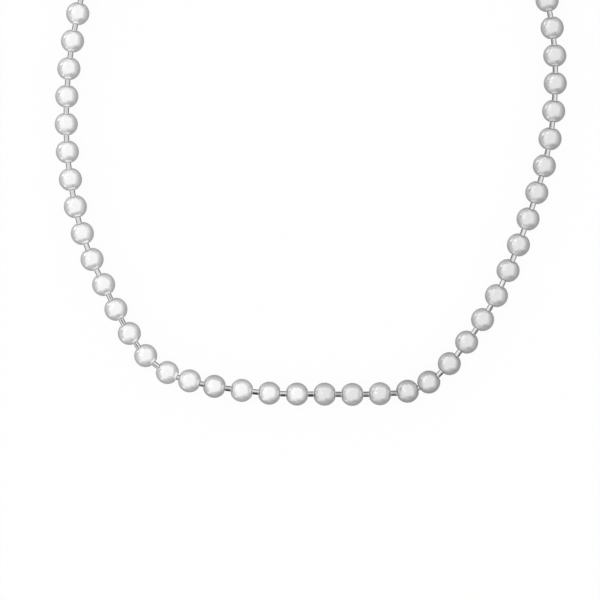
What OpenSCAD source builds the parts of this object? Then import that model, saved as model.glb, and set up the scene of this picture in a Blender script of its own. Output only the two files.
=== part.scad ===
// Ball chain necklace, laid flat in one closed loop. Hollow metal balls are
// strung on dumb-bell links, whose heads are caught inside them, and a barrel
// clasp holds the two end balls.
// Millimetres, +Z up. The origin is on the surface that the chain lies on, in
// the middle of the loop's outer edges, and the clasp is at the +Y end.

/* [Chain] */
// Length of the closed necklace, all the way round
loop_length = 457.2; // [406.4:0.1:508]
// Diameter of a ball
ball_d = 6; // [5.4:0.1:6.6]
// Thickness of a ball's wall
ball_wall = 0.3; // [0.24:0.02:0.36]
// Gap between two balls whose link is drawn out
ball_gap = 1.2; // [1:0.05:1.4]

/* [Links] */
// Diameter of a link's rod
rod_d = 1.4; // [1.2:0.05:1.5]
// Room round a rod in the hole of a ball
rod_play = 0.35; // [0.32:0.01:0.4]
// How far past the edge of that hole a link's head reaches
head_lip = 0.08; // [0.06:0.01:0.11]
// Room between a head and the edge of the hole when the link is drawn out
head_play = 0.25; // [0.22:0.01:0.28]

/* [Clasp] */
// Thickness of the clasp's wall
clasp_wall = 0.35; // [0.3:0.05:0.6]
// Room round the balls inside the clasp
clasp_play = 0.15; // [0.1:0.01:0.3]
// Gap between the two balls inside the clasp
clasp_gap = 1.3; // [0.5:0.1:2]
// How much narrower than a ball the clasp's window is, on each side
window_grip = 0.4; // [0.2:0.05:0.8]
// How much longer than a ball the clasp's window is, at each end
window_ease = 0.5; // [0.3:0.05:1]
// Room on each side of a rod in the clasp's slots
slot_play = 0.2; // [0.1:0.05:0.3]
// Room round a rod in the clasp's end holes
eye_play = 0.8; // [0.7:0.05:1]

/* [Hidden] */
$fn = 48;

// The line that the chain lies along: from the clasp down the left side, along
// the bottom and up the right side. It is scaled to the necklace's length.
route = [
    [1, 133.5], [-19, 129], [-37, 115.5], [-51, 94.5], [-58.5, 69], [-60.5, 43.5],
    [-57.5, 21], [-50.5, 3], [-41, -13.5], [-30.5, -20.5], [-11, -24], [7, -24.5],
    [18.5, -24.5], [23, -24], [31.5, -22.5], [41.5, -13], [53, 6], [64, 39.5],
    [65, 69.5], [57, 95.5], [42, 115.5], [22.5, 128.5]
];
// Straight steps that stand for the curve between two points of the route
route_steps = 12;

// Where the balls have slid together, with a column for the first such link's
// place, as a share of all the links from the clasp, and one for the shares of
// their gaps that this link and the next ones have taken up
PLACE = 0;
TAKEN = 1;
slid_together = [
    [0.413, [0.875, 0.48]],
    [0.556, [0.9]]
];

// Radii of the balls and links
ball_r = ball_d / 2;
bore_r = ball_r - ball_wall;
rod_r = rod_d / 2;
hole_r = rod_r + rod_play;
head_r = hole_r + head_lip;

// Sizes of the clasp
clasp_r = ball_r + clasp_play + clasp_wall;
clasp_seat = (ball_d + clasp_gap) / 2;
clasp_reach = clasp_seat + clasp_r;
window_w = ball_d - 2 * window_grip;
window_l = ball_d + 2 * window_ease;
slot_w = rod_d + 2 * slot_play;
eye_r = rod_r + eye_play;
// How far a cutting shape runs past what it cuts
past = 1;

function sum(v) = v * [for (x = v) 1];
function sums(v) = [for (i = 0, s = 0; i <= len(v); s = s + (i < len(v) ? v[i] : 0), i = i + 1) s];
function unit(v) = v / norm(v);

// Links that the length takes, and the gap that shares out what is left over
taken_in_all = sum([for (row = slid_together) each row[TAKEN]]);
link_count = round((loop_length - 2 * clasp_seat + taken_in_all * ball_gap) / (ball_d + ball_gap));
gap = (loop_length - 2 * clasp_seat - link_count * ball_d) / (link_count - taken_in_all);
function taken(i) = sum([for (row = slid_together)
    let (k = i - round(row[PLACE] * link_count)) k >= 0 && k < len(row[TAKEN]) ? row[TAKEN][k] : 0]);
ball_way = sums([for (i = [0:link_count - 1]) ball_d + gap * (1 - taken(i))]);

// Distance from a ball's middle to the middle of a drawn-out link's head, and
// the length of a link between the middles of its heads
head_at = sqrt(bore_r ^ 2 - hole_r ^ 2) - sqrt((head_r + head_play) ^ 2 - hole_r ^ 2);
link_l = ball_d + gap - 2 * head_at;
// Distance from a ball's middle to the point that its links swing about
swing_at = 0.7 * ball_r;

// Smooth curve from point i of the route to the next one, as t goes from 0 to 1
function route_point(i) = route[(i + len(route)) % len(route)];
function curve(i, t) =
    let (a = route_point(i - 1), b = route_point(i), c = route_point(i + 1), d = route_point(i + 2))
    b + (c - a) * t / 2 + (a - 2.5 * b + 2 * c - d / 2) * t ^ 2 + (3 * (b - c) + d - a) * t ^ 3 / 2;
trail = [for (i = [0:len(route) - 1], k = [0:route_steps - 1]) curve(i, k / route_steps), route[0]];
trail_way = sums([for (k = [1:len(trail) - 1]) norm(trail[k] - trail[k - 1])]);
fit = loop_length / trail_way[len(trail) - 1];
trail_x = [for (k = [0:len(trail) - 1]) [trail_way[k] * fit, trail[k].x * fit]];
trail_y = [for (k = [0:len(trail) - 1]) [trail_way[k] * fit, trail[k].y * fit]];

// Middles of the balls and of the clasp, moved so that the loop is centred
laid = [for (way = ball_way) [lookup(clasp_seat + way, trail_x), lookup(clasp_seat + way, trail_y)]];
laid_clasp = (laid[0] + laid[link_count]) / 2;
laid_x = [for (p = laid) p.x];
laid_y = [for (p = laid) p.y];
low_y = min(laid_y) - ball_r;
high_y = max(max(laid_y) + ball_r, laid_clasp.y + clasp_r);
shift = [(min(laid_x) + max(laid_x)) / 2, (low_y + high_y) / 2];
// The end balls lie as high as the clasp's middle, the others on the surface
function height(i) = i == 0 || i == link_count ? clasp_r : ball_r;
ball_at = [for (i = [0:link_count]) [laid[i].x - shift.x, laid[i].y - shift.y, height(i)]];
clasp_at = (ball_at[0] + ball_at[link_count]) / 2;
clasp_line = ball_at[0] - ball_at[link_count];

// Line of each ball's holes: halfway between the ways to its two neighbours
ways = [for (i = [0:link_count - 1]) unit(ball_at[i + 1] - ball_at[i])];
ball_line = [for (i = [0:link_count]) unit(ways[max(i - 1, 0)] + ways[min(i, link_count - 1)])];

// Puts a shape that is made along Z at a place, turned along a line
module along(place, line)
    translate(place) rotate([0, acos(line.z / norm(line)), atan2(line.y, line.x)]) children();

// Thin ball with a hole at each end of its Z axis
module ball()
    difference() {
        sphere(r = ball_r);
        sphere(r = bore_r);
        cylinder(h = ball_d + 2 * past, r = hole_r, center = true);
    }

// Rod along Z with a round head at each end
module link() {
    cylinder(h = link_l, r = rod_r, center = true);
    for (end = [-1, 1])
        translate([0, 0, end * link_l / 2]) sphere(r = head_r);
}

// Half outline of a round bar along Y with domed ends
module half_bar(r, reach)
    intersection() {
        circle(r = reach);
        translate([0, -reach]) square([r, 2 * reach]);
    }

// Tube along X with domed ends that have an eye in the middle
module barrel()
    rotate([0, 90, 0]) rotate_extrude()
        difference() {
            half_bar(clasp_r, clasp_reach);
            half_bar(clasp_r - clasp_wall, clasp_reach - clasp_wall);
            translate([-past, -clasp_reach - past]) square([past + eye_r, 2 * (clasp_reach + past)]);
        }

// Box that cuts upwards from the clasp's middle line
module cut_up(length, width)
    translate([-length / 2, -width / 2, 0]) cube([length, width, clasp_r + past]);

module balls()
    color("silver")
        for (i = [0:link_count]) along(ball_at[i], ball_line[i]) ball();

module links()
    color("lightgray")
        for (i = [0:link_count - 1]) {
            from = ball_at[i] + swing_at * ball_line[i];
            to = ball_at[i + 1] - swing_at * ball_line[i + 1];
            along((from + to) / 2, to - from) link();
        }

// Hollow barrel with a window on top that lets a ball in, slots that let its
// rod slide to the ends, and a hole in each end where the rod stays
module clasp()
    color("silver")
        translate(clasp_at) rotate([0, 0, atan2(clasp_line.y, clasp_line.x)])
            difference() {
                barrel();
                cut_up(window_l, window_w);
                cut_up(2 * (clasp_reach + past), slot_w);
            }

balls();
links();
clasp();
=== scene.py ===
# %% [markdown]
# # A ball chain necklace, laid flat
# Sixty-four hollow silver balls are strung on short wire links. Each link has a
# round head at both ends, and the heads are caught inside two neighbouring balls.
# A small barrel clasp, up at the far end, holds the two end balls.
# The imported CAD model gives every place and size. This script makes finer
# meshes in the same places, and gives them their finish and light.

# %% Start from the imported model
import bmesh
import bpy
import math
import random
import numpy as np
from mathutils import Matrix, Vector


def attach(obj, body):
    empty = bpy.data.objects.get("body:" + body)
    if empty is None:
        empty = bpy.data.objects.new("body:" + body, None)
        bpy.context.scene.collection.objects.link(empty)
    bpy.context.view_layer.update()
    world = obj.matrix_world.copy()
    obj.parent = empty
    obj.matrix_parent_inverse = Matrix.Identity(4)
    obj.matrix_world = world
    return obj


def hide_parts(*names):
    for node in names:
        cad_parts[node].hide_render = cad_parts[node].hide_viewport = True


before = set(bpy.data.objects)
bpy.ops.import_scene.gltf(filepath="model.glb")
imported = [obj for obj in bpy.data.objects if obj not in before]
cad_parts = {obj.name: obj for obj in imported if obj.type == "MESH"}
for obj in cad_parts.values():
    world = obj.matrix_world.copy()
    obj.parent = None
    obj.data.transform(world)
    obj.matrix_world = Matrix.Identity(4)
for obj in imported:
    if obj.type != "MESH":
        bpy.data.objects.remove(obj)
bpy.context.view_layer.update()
MM = 0.001

# %% [markdown]
# ## Find the balls and links
# A CAD node holds many separate solids in one mesh of loose triangles. A copy
# of the mesh is merged, so that a walk from face to face finds each solid. Its
# middle is the average of its faces, weighed by their area, and its long line
# is the direction in which they spread the most. That way no place is typed in
# twice, and the new pieces follow the CAD model if it changes.

# %% Split a node into its solids
# Points that lie nearer to each other than this are one point
SAME_POINT = 0.001 * MM


def middle_and_long_line(faces):
    """Middle of some faces, and the direction in which they spread the most."""
    areas = np.array([face.calc_area() for face in faces])
    middles = np.array([face.calc_center_median() for face in faces])
    middle = areas @ middles / areas.sum()
    spread = (middles - middle).T @ ((middles - middle) * areas[:, None])
    return Vector(middle), Vector(np.linalg.eigh(spread)[1][:, -1])


def solids_of(node):
    """Middle, long line and points of each separate solid of a CAD node."""
    bm = bmesh.new()
    bm.from_mesh(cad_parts[node].data)
    bmesh.ops.remove_doubles(bm, verts=bm.verts, dist=SAME_POINT)
    solids, left = [], set(bm.verts)
    while left:
        to_visit = [left.pop()]
        points, faces = list(to_visit), set()
        while to_visit:
            vert = to_visit.pop()
            faces.update(vert.link_faces)
            for near in (edge.other_vert(vert) for edge in vert.link_edges):
                if near in left:
                    left.remove(near)
                    to_visit.append(near)
                    points.append(near)
        solids.append((*middle_and_long_line(faces), [vert.co.copy() for vert in points]))
    bm.free()
    print(node, "has", len(solids), "solids")
    return solids

# %% Put the balls and links in order round the loop
clasp_middle, clasp_line, _ = solids_of("clasp")[0]


def turn_from_clasp(solid):
    """Angle of a solid about the middle of the loop, counted from the clasp."""
    here = math.atan2(-solid[0].x, solid[0].y)
    return (here - math.atan2(-clasp_middle.x, clasp_middle.y)) % math.tau


ball_solids = sorted(solids_of("balls"), key=turn_from_clasp)
link_solids = sorted(solids_of("links"), key=turn_from_clasp)
ball_spots = [solid[0] for solid in ball_solids]
ways = [(b - a).normalized() for a, b in zip(ball_spots, ball_spots[1:])]
ball_lines = [(a + b).normalized() for a, b in zip(ways[:1] + ways, ways + ways[-1:])]
pitches = [(b - a).length / MM for a, b in zip(ball_spots, ball_spots[1:])]
print("from ball to ball:", round(min(pitches), 2), "to", round(max(pitches), 2), "mm")

# %% [markdown]
# ## Tools for round pieces
# Balls and links are turned shapes, so each starts as one point. Spinning the
# point about a centre draws an arc of the outline, and spinning the outline
# about the piece's own line makes the surface. The outline lies in the XZ
# plane, with the piece's line along Z.

# %% Draw an outline, spin it and place it
def draw_arc(bm, vert, centre, degrees, steps):
    """Spins a point of the outline about a centre and returns the last point."""
    made = bmesh.ops.spin(bm, geom=[vert], cent=centre, axis=(0, 1, 0),
                          angle=math.radians(degrees), steps=steps)
    return next(item for item in made["geom_last"] if isinstance(item, bmesh.types.BMVert))


def draw_line(bm, vert, end):
    """Draws one straight line of the outline and returns its end."""
    new = bmesh.ops.extrude_vert_indiv(bm, verts=[vert])["verts"][0]
    new.co = end
    return new


def spin_round(bm, steps):
    """Spins the outline once round Z and closes its seam and poles."""
    bmesh.ops.remove_doubles(bm, verts=bm.verts, dist=SAME_POINT)
    bmesh.ops.spin(bm, geom=bm.verts[:] + bm.edges[:], cent=(0, 0, 0), axis=(0, 0, 1),
                   angle=math.tau, steps=steps, use_merge=True)
    bmesh.ops.remove_doubles(bm, verts=bm.verts, dist=SAME_POINT)
    bmesh.ops.recalc_face_normals(bm, faces=bm.faces)


def placing(middle, line):
    """Matrix that moves a piece to its middle, with its Z along line and its X up."""
    up = (Vector((0, 0, 1)) - line * line.z).normalized()
    turn = Matrix((up, line.cross(up), line)).transposed()
    return Matrix.Translation(middle) @ turn.to_4x4()

# %% [markdown]
# A chain has the same piece many times over. One is made, its points note where
# they lie on it in a "place_on_piece" attribute, and then copies of it go to
# each place in one mesh. The finishes read that attribute, so that their marks
# run round or along each piece, whichever way it lies. A second attribute,
# "look", gives each copy four numbers of its own, so that no two are the same.

# %% Repeat a piece along the chain
def repeat(name, one, places, looks):
    """One object with a copy of the bmesh at each place, each with its look."""
    place_on_piece = one.verts.layers.float_vector.new("place_on_piece")
    one.verts.layers.float_color.new("look")
    for vert in one.verts:
        vert[place_on_piece] = vert.co / MM
    for face in one.faces:
        face.smooth = True
    pattern = bpy.data.meshes.new(name + "_pattern")
    one.to_mesh(pattern)
    one.free()
    whole = bmesh.new()
    for place, look in zip(places, looks):
        before = len(whole.verts)
        whole.from_mesh(pattern)
        whole.verts.ensure_lookup_table()
        copy = whole.verts[before:]
        bmesh.ops.transform(whole, matrix=place, verts=copy)
        layer = whole.verts.layers.float_color["look"]
        for vert in copy:
            vert[layer] = look
    mesh = bpy.data.meshes.new(name)
    whole.to_mesh(mesh)
    whole.free()
    bpy.data.meshes.remove(pattern)
    piece = bpy.data.objects.new(name, mesh)
    bpy.context.scene.collection.objects.link(piece)
    triangles = sum(len(face.vertices) - 2 for face in mesh.polygons)
    print(name, "has", len(places), "copies and", triangles, "triangles")
    return piece

# %% [markdown]
# ## The balls
# A real ball is pressed from thin sheet round the ends of two links, so it is
# hollow, with a soft edge where the sheet turns into each hole. A plain sphere
# would show neither the holes nor the wall in them. Here the outline runs over
# the outside, round the edge into the hole and back along the inside.

# %% Measure a ball of the CAD model
middle, _, points = ball_solids[len(ball_solids) // 2]
line = ball_lines[len(ball_solids) // 2]
reaches = [(point - middle).length for point in points]
from_line = [(point - middle).cross(line).length for point in points]
ball_r, bore_r, hole_r = max(reaches), min(reaches), min(from_line)
print("ball radius, inner radius and hole radius in mm:",
      [round(size / MM, 3) for size in (ball_r, bore_r, hole_r)])

# %% Make one ball
# Radii of a hole's soft edges on the outside and on the inside
SOFT_R, INNER_SOFT_R = 0.08 * MM, 0.06 * MM
# Steps of the arcs on the outside, on the inside and round an edge, and steps
# once round the ball
OUTER_STEPS, INNER_STEPS, EDGE_STEPS, BALL_STEPS = 22, 6, 5, 36


def ball_shape():
    """Thin ball with two holes on Z, whose edges are softly rounded."""
    bm = bmesh.new()
    x, inner_x = hole_r + SOFT_R, hole_r + INNER_SOFT_R
    z = math.sqrt((ball_r - SOFT_R) ** 2 - x ** 2)
    inner_z = math.sqrt((bore_r + INNER_SOFT_R) ** 2 - inner_x ** 2)
    lean = math.degrees(math.atan2(x, z))
    inner_lean = math.degrees(math.atan2(inner_x, inner_z))
    vert = bm.verts.new(Vector((x, 0, z)).normalized() * ball_r)
    vert = draw_arc(bm, vert, (0, 0, 0), 180 - 2 * lean, OUTER_STEPS)
    vert = draw_arc(bm, vert, (x, 0, -z), 90 + lean, EDGE_STEPS)
    vert = draw_line(bm, vert, (hole_r, 0, -inner_z))
    vert = draw_arc(bm, vert, (inner_x, 0, -inner_z), 90 - inner_lean, 1)
    vert = draw_arc(bm, vert, (0, 0, 0), 2 * inner_lean - 180, INNER_STEPS)
    vert = draw_arc(bm, vert, (inner_x, 0, inner_z), 90 - inner_lean, 1)
    vert = draw_line(bm, vert, (hole_r, 0, z))
    draw_arc(bm, vert, (x, 0, z), 90 + lean, EDGE_STEPS)
    spin_round(bm, BALL_STEPS)
    return bm

# %% [markdown]
# The first number of a ball's look is its own tone, which differs a little at
# random, plus painted light, which makes the balls of the first half of the
# chain lighter. The second is how much painted shade its rim gets.

# %% Give each ball its look
random.seed(7)
# How much chance changes a ball's tone
TONE_PLAY = 0.04
# Share of the way round the chain, and how much painted shade the rim of the ball there gets
RIM_SHADED_BALLS = (
    (0.42, 0.0),
    (0.43, 0.2),
    (0.445, 1.0),
    (0.46, 0.2),
    (0.475, 0.9),
    (0.495, 1.0),
    (0.505, 0.0),
    (0.54, 0.0),
    (0.555, 0.9),
    (0.57, 1.0),
    (0.585, 0.7),
    (0.61, 0.0),
)
ball_looks = []
for i in range(len(ball_spots)):
    here = i / (len(ball_spots) - 1)
    # Painted light: the first half of the chain is lighter; the random play is the balls' own tone
    light_and_tone = 1.0 if here < 0.5 else 0.0
    light_and_tone += random.uniform(-TONE_PLAY, TONE_PLAY)
    # Painted shade on the ball's rim, strongest on balls at the near side
    rim_shade = np.interp(here, *zip(*RIM_SHADED_BALLS))
    ball_looks.append((light_and_tone, rim_shade, 0, 0))
print(sum(look[1] > 0 for look in ball_looks), "balls have some tarnish")

# %% String the balls
ball_places = [placing(*spot) for spot in zip(ball_spots, ball_lines)]
balls = repeat("silver_balls", ball_shape(), ball_places, ball_looks)

# %% [markdown]
# ## The links
# A link is a bit of drawn wire whose ends are upset into round heads, like a
# tiny dumb-bell. Only about a millimetre of its rod shows between two balls.
# Its outline goes from the tip of one head down to the other: an arc for the
# head, a small hollow arc at the neck, the rod, and the same again.

# %% Measure a link of the CAD model
middle, line, points = link_solids[len(link_solids) // 2]
along = [abs((point - middle).dot(line)) for point in points]
aside = [(point - middle).cross(line).length for point in points]
rod_r = min(s for s, a in zip(aside, along) if a < max(along) / 2)
head_r = max(aside)
head_at = max(along) - head_r
print("rod radius, head radius and head place in mm:",
      [round(size / MM, 3) for size in (rod_r, head_r, head_at)])

# %% Make one link
# Radius of the hollow between the rod and a head
NECK_R = 0.15 * MM
# Steps of the arcs of a head and of a neck, and steps once round the link
HEAD_STEPS, NECK_STEPS, LINK_STEPS = 9, 3, 32
# Where the rod's outline has points, as shares of the way to its neck
ROD_POINTS = (0.3, 0, -0.3, -1)


def link_shape():
    """Rod along Z with a round head at each end and a soft neck under it."""
    bm = bmesh.new()
    neck_x = rod_r + NECK_R
    neck_z = math.sqrt((head_r + NECK_R) ** 2 - neck_x ** 2)
    lean = math.degrees(math.atan2(neck_x, neck_z))
    neck_at = head_at - neck_z
    vert = bm.verts.new((0, 0, head_at + head_r))
    vert = draw_arc(bm, vert, (0, 0, head_at), 180 - lean, HEAD_STEPS)
    vert = draw_arc(bm, vert, (neck_x, 0, neck_at), lean - 90, NECK_STEPS)
    for share in ROD_POINTS:
        vert = draw_line(bm, vert, (rod_r, 0, share * neck_at))
    vert = draw_arc(bm, vert, (neck_x, 0, -neck_at), lean - 90, NECK_STEPS)
    draw_arc(bm, vert, (0, 0, -head_at), 180 - lean, HEAD_STEPS)
    spin_round(bm, LINK_STEPS)
    return bm

# %% [markdown]
# A link's look says where its dark line of painted shade lies. The line wanders
# round the wire along the chain, so a table gives it at a few places, and each
# link takes what lies between two rows, with a little chance.

# %% Give each link its look
# Share of the way round the chain, the painted shade line's place across the
# wire from -1 on the inner side to 1 on the outer side, its width, how dark it
# is, and how dark the painted shade over the whole wire is
SHADE_LINE = (
    (0.00, 0.10, 0.40, 0.50, 0.10),
    (0.34, -0.10, 0.30, 0.00, 0.08),
    (0.36, -0.10, 0.35, 0.75, 0.05),
    (0.39, 0.05, 0.40, 0.95, 0.00),
    (0.42, 0.30, 0.40, 0.40, 0.10),
    (0.44, 0.35, 0.55, 0.75, 0.22),
    (0.452, 0.40, 0.65, 0.62, 0.32),
    (0.468, 0.42, 0.80, 0.88, 0.10),
    (0.50, 0.36, 0.85, 0.84, 0.12),
    (0.515, 0.50, 0.65, 0.38, 0.50),
    (0.55, 0.50, 0.60, 0.38, 0.48),
    (0.56, 0.40, 0.60, 0.00, 0.30),
    (0.58, 0.75, 1.00, 0.85, 0.00),
    (0.63, 0.50, 0.90, 0.65, 0.00),
    (0.645, 0.45, 0.40, 0.35, 0.00),
    (0.655, -0.65, 0.60, 0.50, 0.00),
    (1.00, -0.20, 0.50, 0.50, 0.10),
)
# How much chance changes the line's place, and the shares by which it changes
# the line's width and how dark it is
PLACE_PLAY, WIDTH_PLAY, DARK_PLAY = 0.05, 0.1, 0.1
table_places, *columns = zip(*SHADE_LINE)
link_looks = []
for i in range(len(link_solids)):
    here = (i + 0.5) / len(link_solids)
    place, width, dark, overall_shade = (np.interp(here, table_places, column) for column in columns)
    place += random.uniform(-PLACE_PLAY, PLACE_PLAY)
    width *= random.uniform(1 - WIDTH_PLAY, 1 + WIDTH_PLAY)
    dark *= random.uniform(1 - DARK_PLAY, 1)
    link_looks.append((place, width, dark, overall_shade))
line_places = [look[0] for look in link_looks]
print("the oxide line wanders from", round(min(line_places), 2), "to", round(max(line_places), 2))

# %% String the links
link_lines = [solid[1] * math.copysign(1, solid[1].dot(way)) for solid, way in zip(link_solids, ways)]
link_places = [placing(solid[0], line) for solid, line in zip(link_solids, link_lines)]
links = repeat("wire_links", link_shape(), link_places, link_looks)

# %% [markdown]
# ## The clasp
# The clasp is a barrel of pressed sheet. A ball goes in through the window on
# top, its rod slides along the slot, and the ball stays behind the end hole. Its
# shape in the CAD model is exact already, so the mesh is copied and merged, its
# flat triangles are dissolved into whole faces, and the sharp edges that the
# press leaves are rounded off.

# %% Round the edges of the clasp
# Faces that meet at a smaller angle than the first are one face, and edges at
# a larger angle than the second are rounded
FLAT, SHARP = math.radians(0.5), math.radians(28)
ROUNDED = 0.07 * MM


def clasp_shape():
    """Copy of the CAD clasp with its sharp edges rounded."""
    bm = bmesh.new()
    bm.from_mesh(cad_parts["clasp"].data)
    bmesh.ops.remove_doubles(bm, verts=bm.verts, dist=SAME_POINT)
    bmesh.ops.dissolve_limit(bm, angle_limit=FLAT, verts=bm.verts, edges=bm.edges)
    sharp = [edge for edge in bm.edges if edge.is_manifold and edge.calc_face_angle() > SHARP]
    bmesh.ops.bevel(bm, geom=sharp, offset=ROUNDED, offset_type="OFFSET", affect="EDGES",
                    segments=3, profile=0.5, material=-1, clamp_overlap=True)
    print("clasp: rounded", len(sharp), "edges")
    return bm


bm = clasp_shape()
to_clasp = placing(clasp_middle, clasp_line)
bmesh.ops.transform(bm, matrix=to_clasp.inverted(), verts=bm.verts)
clasp = repeat("barrel_clasp", bm, [to_clasp], [(0, 0, 0, 0)])

# %% [markdown]
# ## Colours and nodes
# Colours are written as sRGB hex values, the way a colour picker shows them,
# and turned to the linear values that the shaders count in.

# %% Turn a hex colour to linear, and add a node
def linear(hex_colour):
    """Linear red, green, blue and alpha of a colour such as #c0c0c0."""
    parts = [int(hex_colour[i:i + 2], 16) / 255 for i in (1, 3, 5)]
    return [p / 12.92 if p <= 0.04045 else ((p + 0.055) / 1.055) ** 2.4 for p in parts] + [1]


def add_node(tree, kind, inputs=None, **settings):
    """Adds a node, sets it, and gives its inputs a value or a link from a socket."""
    node = tree.nodes.new(kind)
    for name, value in settings.items():
        setattr(node, name, value)
    for name, value in (inputs or {}).items():
        if isinstance(value, bpy.types.NodeSocket):
            tree.links.new(value, node.inputs[name])
        else:
            node.inputs[name].default_value = value
    return node


def new_material(name):
    """Empty material and its tree of nodes."""
    material = bpy.data.materials.new(name)
    material.use_nodes = True
    material.node_tree.nodes.clear()
    return material, material.node_tree

# %% [markdown]
# ## Polished silver of the balls
# Sterling silver, pressed and then tumbled with steel shot until it shines. It
# reflects nearly all light, without a colour of its own. Painted shade darkens
# the edge of each hole, where the rod enters. The balls of one half of the
# chain are a little greyer than those of the other, which is painted light,
# and a few at the near side get painted shade, which begins a little below
# their tops and goes all the way down.

# %% Polished silver: colour
# From the first to the second, in mm from the ball's middle towards a hole,
# the metal darkens with painted shade, and how dark it gets
HOLE_SHADE_MM = (2.70, 2.80)
HOLE_SHADE = 0.12
# Below the first height over the ball's middle, in mm, a ball with painted rim
# shade has all of it, and above the second it has none
RIM_SHADE_MM = (2.1, 2.5)
RIM_SHADE = 0.22
polished_silver, tree = new_material("polished_sterling_silver")
own_place = add_node(tree, "ShaderNodeAttribute", attribute_name="place_on_piece")
parts = add_node(tree, "ShaderNodeSeparateXYZ", {"Vector": own_place.outputs["Vector"]})
look = add_node(tree, "ShaderNodeAttribute", attribute_name="look")
own_look = add_node(tree, "ShaderNodeSeparateXYZ", {"Vector": look.outputs["Vector"]})
to_hole = add_node(tree, "ShaderNodeMath", {0: parts.outputs["Z"]}, operation="ABSOLUTE")
# Painted shade at the edge of each hole, where the rod enters
hole_shade = add_node(tree, "ShaderNodeMapRange", {
    "Value": to_hole.outputs[0], "From Min": HOLE_SHADE_MM[0], "From Max": HOLE_SHADE_MM[1],
    "To Min": 0.0, "To Max": HOLE_SHADE}, interpolation_type="SMOOTHSTEP")
# Painted shade: the ball darkens from a little under its top all the way down
rim_shade_ramp = add_node(tree, "ShaderNodeMapRange", {
    "Value": parts.outputs["X"], "From Min": RIM_SHADE_MM[0], "From Max": RIM_SHADE_MM[1],
    "To Min": RIM_SHADE, "To Max": 0.0}, interpolation_type="SMOOTHSTEP")
# Share of painted shade, from the rim and from the hole's edge
ball_shade_share = add_node(tree, "ShaderNodeMath", {
    0: rim_shade_ramp.outputs[0], 1: own_look.outputs["Y"], 2: hole_shade.outputs[0]}, operation="MULTIPLY_ADD")
# Painted light: the balls of the first half are lighter, besides their own random tone
tone_and_painted_light = add_node(tree, "ShaderNodeMix", {
    0: own_look.outputs["X"], 6: linear("#e6e6e6"), 7: linear("#f9f9f9")}, data_type="RGBA")
silver = add_node(tree, "ShaderNodeMix", {
    0: ball_shade_share.outputs[0], 6: tone_and_painted_light.outputs[2], 7: linear("#8c8c8c")}, data_type="RGBA")
print(polished_silver.name, "has", len(tree.nodes), "nodes for its colour")

# %% [markdown]
# Tumbling leaves the sheet very slightly wavy, with fine scratches, so the
# reflections wobble at their edges. Where the press gathers the sheet round a
# hole it is creased. The inside of a ball is a small cave of mirrors, where
# light bounces more often than a render follows it, so the inner wall gets a
# faint glow in its place.

# %% Polished silver: waves, creases and scratches
# Sizes and depths of the waves, the creases and the scratches
WAVE_MM, WAVE_DEEP_MM = 1.2, 0.12
CREASE_MM, CREASE_DEEP_MM = 0.5, 0.06
SCRATCH_MM, SCRATCH_DEEP_MM = 0.15, 0.001
# The creases begin at the first, in mm from the ball's middle towards a hole,
# and are deepest at the second
CREASED_MM = (1.6, 2.7)
place = add_node(tree, "ShaderNodeTexCoord").outputs["Object"]
waves = add_node(tree, "ShaderNodeTexNoise", {
    "Vector": place, "Scale": 1 / (WAVE_MM * MM), "Detail": 2.0})
dents = add_node(tree, "ShaderNodeTexNoise", {
    "Vector": place, "Scale": 1 / (CREASE_MM * MM), "Detail": 1.0})
scratches = add_node(tree, "ShaderNodeTexNoise", {
    "Vector": place, "Scale": 1 / (SCRATCH_MM * MM), "Detail": 2.0})
near_hole = add_node(tree, "ShaderNodeMapRange", {
    "Value": to_hole.outputs[0], "From Min": CREASED_MM[0], "From Max": CREASED_MM[1],
    "To Min": 0.0, "To Max": 1.0})
creases = add_node(tree, "ShaderNodeMath", {
    0: near_hole.outputs[0], 1: dents.outputs["Fac"]}, operation="MULTIPLY")
wavy = add_node(tree, "ShaderNodeBump", {
    "Height": waves.outputs["Fac"], "Strength": 1.0, "Distance": WAVE_DEEP_MM * MM})
creased = add_node(tree, "ShaderNodeBump", {
    "Height": creases.outputs[0], "Strength": 1.0, "Distance": CREASE_DEEP_MM * MM,
    "Normal": wavy.outputs[0]})
scratched = add_node(tree, "ShaderNodeBump", {
    "Height": scratches.outputs["Fac"], "Strength": 1.0, "Distance": SCRATCH_DEEP_MM * MM,
    "Normal": creased.outputs[0]})
print("waves, creases and scratches are up to", WAVE_DEEP_MM, CREASE_DEEP_MM, SCRATCH_DEEP_MM, "mm deep")

# %% Polished silver: polish and inner wall
INNER_GLOW = 0.22
# Most values of a noise lie between these
NOISE_LOW, NOISE_HIGH = 0.3, 0.7
polish = add_node(tree, "ShaderNodeMapRange", {
    "Value": scratches.outputs["Fac"], "From Min": NOISE_LOW, "From Max": NOISE_HIGH,
    "To Min": 0.08, "To Max": 0.15})
from_middle = add_node(tree, "ShaderNodeVectorMath", {0: own_place.outputs["Vector"]}, operation="LENGTH")
inside = add_node(tree, "ShaderNodeMapRange", {
    "Value": from_middle.outputs["Value"], "From Min": bore_r / MM, "From Max": ball_r / MM,
    "To Min": INNER_GLOW, "To Max": 0.0})
shader = add_node(tree, "ShaderNodeBsdfPrincipled", {
    "Base Color": silver.outputs[2], "Metallic": 1.0, "Roughness": polish.outputs[0],
    "Normal": scratched.outputs[0], "Emission Color": linear("#ffffff"),
    "Emission Strength": inside.outputs[0]})
add_node(tree, "ShaderNodeOutputMaterial", {"Surface": shader.outputs[0]})
print(polished_silver.name, "has", len(tree.nodes), "nodes")

# %% [markdown]
# ## Drawn silver wire of the links
# Wire is pulled through a die, which leaves fine lines along it. They are about
# 0.05 mm apart on real wire, too fine to show here, so they are drawn coarser.

# %% Drawn wire: lines of the die
DIE_LINE_MM = 0.12
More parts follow.
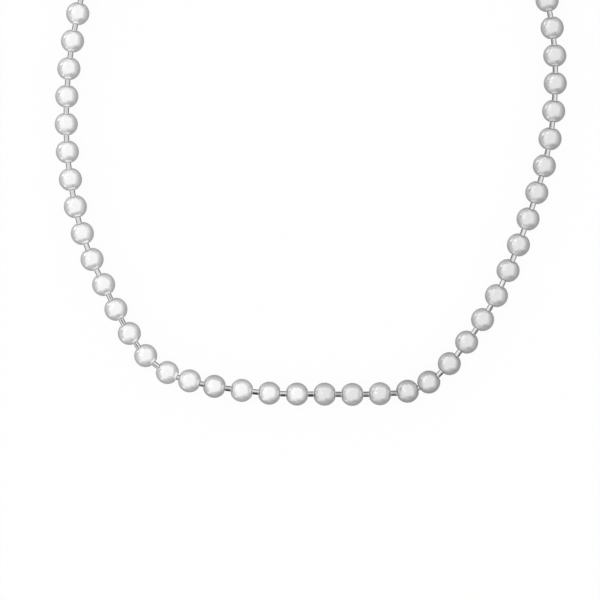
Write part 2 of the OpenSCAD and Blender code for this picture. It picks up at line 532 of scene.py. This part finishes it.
# How much the pattern is shrunk along the wire, which draws its lines out
ALONG_WIRE = 0.04
drawn_wire, tree = new_material("drawn_silver_wire")
own_place = add_node(tree, "ShaderNodeAttribute", attribute_name="place_on_piece")
parts = add_node(tree, "ShaderNodeSeparateXYZ", {"Vector": own_place.outputs["Vector"]})
look = add_node(tree, "ShaderNodeAttribute", attribute_name="look")
painted_shade = add_node(tree, "ShaderNodeSeparateXYZ", {"Vector": look.outputs["Vector"]})
drawn_out = add_node(tree, "ShaderNodeMapping", {
    "Vector": own_place.outputs["Vector"], "Scale": (1, 1, ALONG_WIRE)})
lines = add_node(tree, "ShaderNodeTexNoise", {
    "Vector": drawn_out.outputs[0], "W": painted_shade.outputs["X"], "Scale": 1 / DIE_LINE_MM,
    "Detail": 1.0}, noise_dimensions="4D")
bright = add_node(tree, "ShaderNodeMix", {
    0: lines.outputs["Fac"], 6: linear("#d9d9d9"), 7: linear("#fafafa")}, data_type="RGBA")
print(drawn_wire.name, "has lines about", DIE_LINE_MM, "mm apart")

# %% [markdown]
# A dark line of painted shade runs along each wire, and a lighter painted
# shade lies over the whole wire. The line turns slowly round the wire along the
# chain. The two sides of the wire are darker too, which is painted shade. Next
# to the balls, all this painted shade fades out.

# %% Drawn wire: painted shade on the sides
# The painted shade on the sides begins and is full at these shares of the way
# from the middle of the wire to its side, and how dark it gets
SIDE_FROM, SIDE_FULL, SIDE_SHADE = 0.55, 0.9, 0.9
# The painted shade begins to fade and has faded at these places, in mm from the
# link's middle, and the share of it that is left
SHADE_FADES_MM = (0.55, 0.85)
SHADE_LEFT_AT_BALLS = 0.2
to_ball = add_node(tree, "ShaderNodeMath", {0: parts.outputs["Z"]}, operation="ABSOLUTE")
# The painted shade of the line and the sides fades next to the balls
shade_not_faded = add_node(tree, "ShaderNodeMapRange", {
    "Value": to_ball.outputs[0], "From Min": SHADE_FADES_MM[0], "From Max": SHADE_FADES_MM[1],
    "To Min": 1.0, "To Max": SHADE_LEFT_AT_BALLS}, interpolation_type="SMOOTHSTEP")
across = add_node(tree, "ShaderNodeMath", {0: parts.outputs["Y"], 1: rod_r / MM}, operation="DIVIDE")
to_side = add_node(tree, "ShaderNodeMath", {0: across.outputs[0]}, operation="ABSOLUTE")
# Painted shade along both sides of the wire
side = add_node(tree, "ShaderNodeMapRange", {
    "Value": to_side.outputs[0], "From Min": SIDE_FROM, "From Max": SIDE_FULL,
    "To Min": 0.0, "To Max": SIDE_SHADE}, interpolation_type="SMOOTHSTEP")
painted_side_shade = add_node(tree, "ShaderNodeMath", {
    0: side.outputs[0], 1: shade_not_faded.outputs[0]}, operation="MULTIPLY")
wire_and_side_shade = add_node(tree, "ShaderNodeMix", {
    0: painted_side_shade.outputs[0], 6: bright.outputs[2], 7: linear("#848484")}, data_type="RGBA")
print("its sides are dark, but hardly past", SHADE_FADES_MM[1], "mm from the middle of a link")

# %% Drawn wire: line of painted shade
# Share of the painted shade line's width that is fully dark
FULL_SHADE = 0.2
# Painted shade: a dark line along the wire, at the place from the link's look
off_line = add_node(tree, "ShaderNodeMath", {
    0: across.outputs[0], 1: painted_shade.outputs["X"]}, operation="SUBTRACT")
off_line = add_node(tree, "ShaderNodeMath", {0: off_line.outputs[0]}, operation="ABSOLUTE")
off_line = add_node(tree, "ShaderNodeMath", {
    0: off_line.outputs[0], 1: painted_shade.outputs["Y"]}, operation="DIVIDE")
on_line = add_node(tree, "ShaderNodeMapRange", {
    "Value": off_line.outputs[0], "From Min": FULL_SHADE, "From Max": 1.0,
    "To Min": 1.0, "To Max": 0.0}, interpolation_type="SMOOTHSTEP")
# Painted shade over the whole wire is added to the line's
line_and_overall_shade = add_node(tree, "ShaderNodeMath", {
    0: on_line.outputs[0], 1: painted_shade.outputs["Z"], 2: look.outputs["Alpha"]},
    operation="MULTIPLY_ADD", use_clamp=True)
wire_shade_share = add_node(tree, "ShaderNodeMath", {
    0: line_and_overall_shade.outputs[0], 1: shade_not_faded.outputs[0]}, operation="MULTIPLY")
colour = add_node(tree, "ShaderNodeMix", {
    0: wire_shade_share.outputs[0], 6: wire_and_side_shade.outputs[2], 7: linear("#303030")}, data_type="RGBA")
print(drawn_wire.name, "has", len(tree.nodes), "nodes for its colour")

# %% Drawn wire: surface
DIE_LINE_DEEP_MM = 0.004
polish = add_node(tree, "ShaderNodeMapRange", {
    "Value": lines.outputs["Fac"], "From Min": NOISE_LOW, "From Max": NOISE_HIGH,
    "To Min": 0.08, "To Max": 0.16})
lined = add_node(tree, "ShaderNodeBump", {
    "Height": lines.outputs["Fac"], "Strength": 1.0, "Distance": DIE_LINE_DEEP_MM * MM})
shader = add_node(tree, "ShaderNodeBsdfPrincipled", {
    "Base Color": colour.outputs[2], "Metallic": 1.0, "Roughness": polish.outputs[0],
    "Normal": lined.outputs[0]})
add_node(tree, "ShaderNodeOutputMaterial", {"Surface": shader.outputs[0]})
print(drawn_wire.name, "has", len(tree.nodes), "nodes")

# %% [markdown]
# ## Pressed silver sheet of the clasp
# The barrel is rolled and pressed from sheet and polished on a wheel, whose
# fine marks run round it.

# %% Pressed sheet
WHEEL_MARK_MM, WHEEL_MARK_DEEP_MM = 0.2, 0.002
# How much the pattern is shrunk round the clasp, which draws its marks out
ROUND_CLASP = 0.06
pressed_sheet, tree = new_material("pressed_silver_sheet")
own_place = add_node(tree, "ShaderNodeAttribute", attribute_name="place_on_piece")
drawn_out = add_node(tree, "ShaderNodeMapping", {
    "Vector": own_place.outputs["Vector"], "Scale": (ROUND_CLASP, ROUND_CLASP, 1)})
wheel_marks = add_node(tree, "ShaderNodeTexNoise", {
    "Vector": drawn_out.outputs[0], "Scale": 1 / WHEEL_MARK_MM, "Detail": 2.0})
colour = add_node(tree, "ShaderNodeMix", {
    0: wheel_marks.outputs["Fac"], 6: linear("#e2e2e2"), 7: linear("#f6f6f6")}, data_type="RGBA")
polish = add_node(tree, "ShaderNodeMapRange", {
    "Value": wheel_marks.outputs["Fac"], "From Min": NOISE_LOW, "From Max": NOISE_HIGH,
    "To Min": 0.12, "To Max": 0.22})
marked = add_node(tree, "ShaderNodeBump", {
    "Height": wheel_marks.outputs["Fac"], "Strength": 1.0, "Distance": WHEEL_MARK_DEEP_MM * MM})
shader = add_node(tree, "ShaderNodeBsdfPrincipled", {
    "Base Color": colour.outputs[2], "Metallic": 1.0, "Roughness": polish.outputs[0],
    "Normal": marked.outputs[0]})
add_node(tree, "ShaderNodeOutputMaterial", {"Surface": shader.outputs[0]})
print(pressed_sheet.name, "has", len(tree.nodes), "nodes")

# %% [markdown]
# Each piece now gets its finish, and takes the place of the CAD node that it
# was measured from.

# %% Dress the pieces
for piece, material, node, slot in ((balls, polished_silver, "balls", "ball_metal"),
                                    (links, drawn_wire, "links", "link_metal"),
                                    (clasp, pressed_sheet, "clasp", "clasp_metal")):
    piece.data.materials.clear()
    piece.data.materials.append(material)
    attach(piece, "root")
    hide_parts(node)
    print(piece.name, "replaces", node, "and is finished in", material.name)

# %% [markdown]
# ## Pale floor
# The photograph's ground is white paper without a shadow, as on a light table.
# So most of the floor's white is its own light, and a small part is paper that
# the chain can shade, which leaves only a trace of a shadow. Mirrors don't see
# the floor: they reflect the grey of the studio below.

# %% Floor
FLOOR_REACH = 3.0
FIBRE_MM = 3
# Share of the floor's white that is its own light, and how strong that is
OWN_LIGHT, OWN_STRENGTH = 0.92, 1.01
bm = bmesh.new()
bmesh.ops.create_grid(bm, x_segments=1, y_segments=1, size=FLOOR_REACH)
mesh = bpy.data.meshes.new("floor")
bm.to_mesh(mesh)
bm.free()
floor = bpy.data.objects.new("floor", mesh)
bpy.context.scene.collection.objects.link(floor)
floor.visible_glossy = False
white_paper, tree = new_material("white_paper_on_a_light_table")
place = add_node(tree, "ShaderNodeTexCoord").outputs["Object"]
fibres = add_node(tree, "ShaderNodeTexNoise", {
    "Vector": place, "Scale": 1 / (FIBRE_MM * MM), "Detail": 3.0})
paper = add_node(tree, "ShaderNodeMix", {
    0: fibres.outputs["Fac"], 6: linear("#f2f2f2"), 7: linear("#fafafa")}, data_type="RGBA")
diffuse = add_node(tree, "ShaderNodeBsdfDiffuse", {"Color": paper.outputs[2]})
glow = add_node(tree, "ShaderNodeEmission", {"Color": linear("#ffffff"), "Strength": OWN_STRENGTH})
both = add_node(tree, "ShaderNodeMixShader", {
    0: OWN_LIGHT, 1: diffuse.outputs[0], 2: glow.outputs[0]})
add_node(tree, "ShaderNodeOutputMaterial", {"Surface": both.outputs[0]})
floor.data.materials.append(white_paper)
print("floor reaches", FLOOR_REACH, "m to each side, in", white_paper.name)

# %% [markdown]
# ## Studio light
# The balls mirror the whole studio, so the light is a picture of one: a wide
# soft square panel overhead, grey walls, and a darker table below. It is made
# in the world's nodes from the direction in which a reflection looks, whose
# height picks a grey from a ramp. The panel leans, so that the walls begin
# earlier at the near side, and the light is a little stronger from the far left.

# %% Start the world
world = bpy.data.worlds.new("light_tent")
bpy.context.scene.world = world
world.use_nodes = True
tree = world.node_tree
tree.nodes.clear()
direction = add_node(tree, "ShaderNodeTexCoord").outputs["Generated"]
parts = add_node(tree, "ShaderNodeSeparateXYZ", {"Vector": direction})
print("the light is the world", world.name)

# %% Square panel that leans
# How much further the panel's corners reach than a round one's
SQUARE = 0.8
# How far the panel leans, and the side where that lowers the light
LEAN = 0.23
LEAN_SIDE = (0.35, -0.94, 0)
size_x = add_node(tree, "ShaderNodeMath", {0: parts.outputs["X"]}, operation="ABSOLUTE")
size_y = add_node(tree, "ShaderNodeMath", {0: parts.outputs["Y"]}, operation="ABSOLUTE")
larger = add_node(tree, "ShaderNodeMath", {
    0: size_x.outputs[0], 1: size_y.outputs[0]}, operation="MAXIMUM")
level_part = add_node(tree, "ShaderNodeVectorMath", {0: direction, 1: (1, 1, 0)}, operation="MULTIPLY")
outwards = add_node(tree, "ShaderNodeVectorMath", {0: level_part.outputs[0]}, operation="LENGTH")
corner = add_node(tree, "ShaderNodeMath", {
    0: outwards.outputs["Value"], 1: larger.outputs[0]}, operation="SUBTRACT")
squared = add_node(tree, "ShaderNodeMath", {
    0: corner.outputs[0], 1: SQUARE, 2: parts.outputs["Z"]}, operation="MULTIPLY_ADD")
to_lean_side = add_node(tree, "ShaderNodeVectorMath", {
    0: direction, 1: LEAN_SIDE}, operation="DOT_PRODUCT")
leaning = add_node(tree, "ShaderNodeMath", {
    0: to_lean_side.outputs["Value"], 1: -LEAN, 2: squared.outputs[0]}, operation="MULTIPLY_ADD")
print("the walls begin earlier towards", LEAN_SIDE)

# %% Greys from the table up to the panel
# Height of a direction, as a sine, and the grey that is seen there
SOFT_LIGHT = (
    (-1.00, "#a6a6a6"),
    (-0.62, "#b0b0b0"),
    (-0.28, "#bcbcbc"),
    (0.02, "#d0d0d0"),
    (0.30, "#dfdfdf"),
    (0.46, "#eeeeee"),
    (0.60, "#fbfbfb"),
    (1.00, "#fbfbfb"),
)
on_ramp = add_node(tree, "ShaderNodeMapRange", {
    "Value": leaning.outputs[0], "From Min": -1.0, "From Max": 1.0})
ramp = add_node(tree, "ShaderNodeValToRGB", {"Fac": on_ramp.outputs[0]})
# A new ramp has two greys already, and the others are added
for i, (height, grey) in enumerate(SOFT_LIGHT):
    stop = ramp.color_ramp.elements[i] if i < 2 else ramp.color_ramp.elements.new(1.0)
    stop.position = (height + 1) / 2
    stop.color = linear(grey)
print("the light has", len(ramp.color_ramp.elements), "greys from low to high")

# %% Stronger light from one side
# How much stronger the light is from one side, and which side that is
ONE_SIDED = 0.05
STRONG_SIDE = (-0.7, 0.7, 0)
to_strong_side = add_node(tree, "ShaderNodeVectorMath", {
    0: direction, 1: STRONG_SIDE}, operation="DOT_PRODUCT")
low = add_node(tree, "ShaderNodeMath", {0: 1.0, 1: parts.outputs["Z"]}, operation="SUBTRACT")
low_side = add_node(tree, "ShaderNodeMath", {
    0: to_strong_side.outputs["Value"], 1: low.outputs[0]}, operation="MULTIPLY")
strength = add_node(tree, "ShaderNodeMath", {
    0: low_side.outputs[0], 1: ONE_SIDED, 2: 1.0}, operation="MULTIPLY_ADD")
print("the light is stronger towards", STRONG_SIDE)

# %% [markdown]
# Small lamps give the glints on each ball's upper left and lower left, and dark
# cards give the shade near its lower right. Both are round soft patches, found
# by how near a reflection's direction comes to theirs. The camera itself sees a
# white backdrop in place of all this.

# %% Lamps and cards
# Way in degrees from the right, height as a sine, half size in degrees, a third
# of which is at full strength, and how much light it adds or takes
LAMPS_AND_CARDS = (
    (228, 0.02, 11, 0.6),
    (150, -0.1, 12, 1.0),
    (140, 0.42, 7, 0.5),
    (115, 0.32, 7, 0.5),
    (165, 0.5, 6, 0.4),
    (80, 0.25, 7, 0.3),
    (125, 0.6, 6, 0.5),
    (155, 0.7, 5, 0.6),
    (165, 0.88, 5, 0.5),
    (150, -0.65, 35, 0.2),
    (150, 0.1, 9, -0.35),
    (163, 0.11, 9, -0.35),
    (176, 0.12, 9, -0.25),
    (205, 0.2, 12, -0.12),
    (285, 0.5, 30, -0.14),
    (302, 0.3, 30, -0.15),
    (308, -0.1, 16, -0.2),
    (255, 0.15, 9, -0.2),
)
for towards, height, half_size, extra in LAMPS_AND_CARDS:
    level = math.sqrt(1 - height ** 2)
    way = (level * math.cos(math.radians(towards)), level * math.sin(math.radians(towards)), height)
    near = add_node(tree, "ShaderNodeVectorMath", {0: direction, 1: way}, operation="DOT_PRODUCT")
    patch = add_node(tree, "ShaderNodeMapRange", {
        "Value": near.outputs["Value"], "From Min": math.cos(math.radians(half_size)),
        "From Max": math.cos(math.radians(half_size / 3)), "To Min": 0.0, "To Max": extra},
        interpolation_type="SMOOTHSTEP")
    strength = add_node(tree, "ShaderNodeMath", {
        0: strength.outputs[0], 1: patch.outputs[0]}, operation="ADD")
print("the light has", len(LAMPS_AND_CARDS), "lamps and cards")

# %% White backdrop
tent = add_node(tree, "ShaderNodeBackground", {
    "Color": ramp.outputs[0], "Strength": strength.outputs[0]})
backdrop = add_node(tree, "ShaderNodeBackground", {"Color": linear("#ffffff"), "Strength": 1.0})
seen = add_node(tree, "ShaderNodeLightPath").outputs["Is Camera Ray"]
light = add_node(tree, "ShaderNodeMixShader", {0: seen, 1: tent.outputs[0], 2: backdrop.outputs[0]})
add_node(tree, "ShaderNodeOutputWorld", {"Surface": light.outputs[0]})
print(world.name, "has", len(tree.nodes), "nodes")

# %% [markdown]
# ## Camera
# The chain lies on the table and the camera looks down on the near half of it,
# with a long lens that shows hardly any perspective. It is tilted by a few
# degrees, as the photograph shows a little of the holes on the balls' far side.

# %% Camera
# Point that it looks at, its tilt, and the width that it sees there
AIM = Vector((-2.75, -54.52, 3.0)) * MM
TILT = math.radians(6)
SEEN_MM = 155.48
LENS_MM, SENSOR_MM = 300, 36
lens = bpy.data.cameras.new("camera")
lens.lens, lens.sensor_width = LENS_MM, SENSOR_MM
lens.clip_start, lens.clip_end = 0.1, 20
distance = SEEN_MM * MM * LENS_MM / SENSOR_MM
camera = bpy.data.objects.new("camera", lens)
camera.location = AIM + distance * Vector((0, math.sin(TILT), math.cos(TILT)))
camera.rotation_euler = (-TILT, 0, 0)
bpy.context.scene.collection.objects.link(camera)
bpy.context.scene.camera = camera
bpy.context.scene.view_settings.view_transform = "Standard"
print("camera is", round(distance, 3), "m from the chain")

# %% [markdown]
# ## Sizes
# The finer pieces have to be as large as the CAD model's, apart from their soft
# edges.

# %% Finish
bpy.context.view_layer.update()
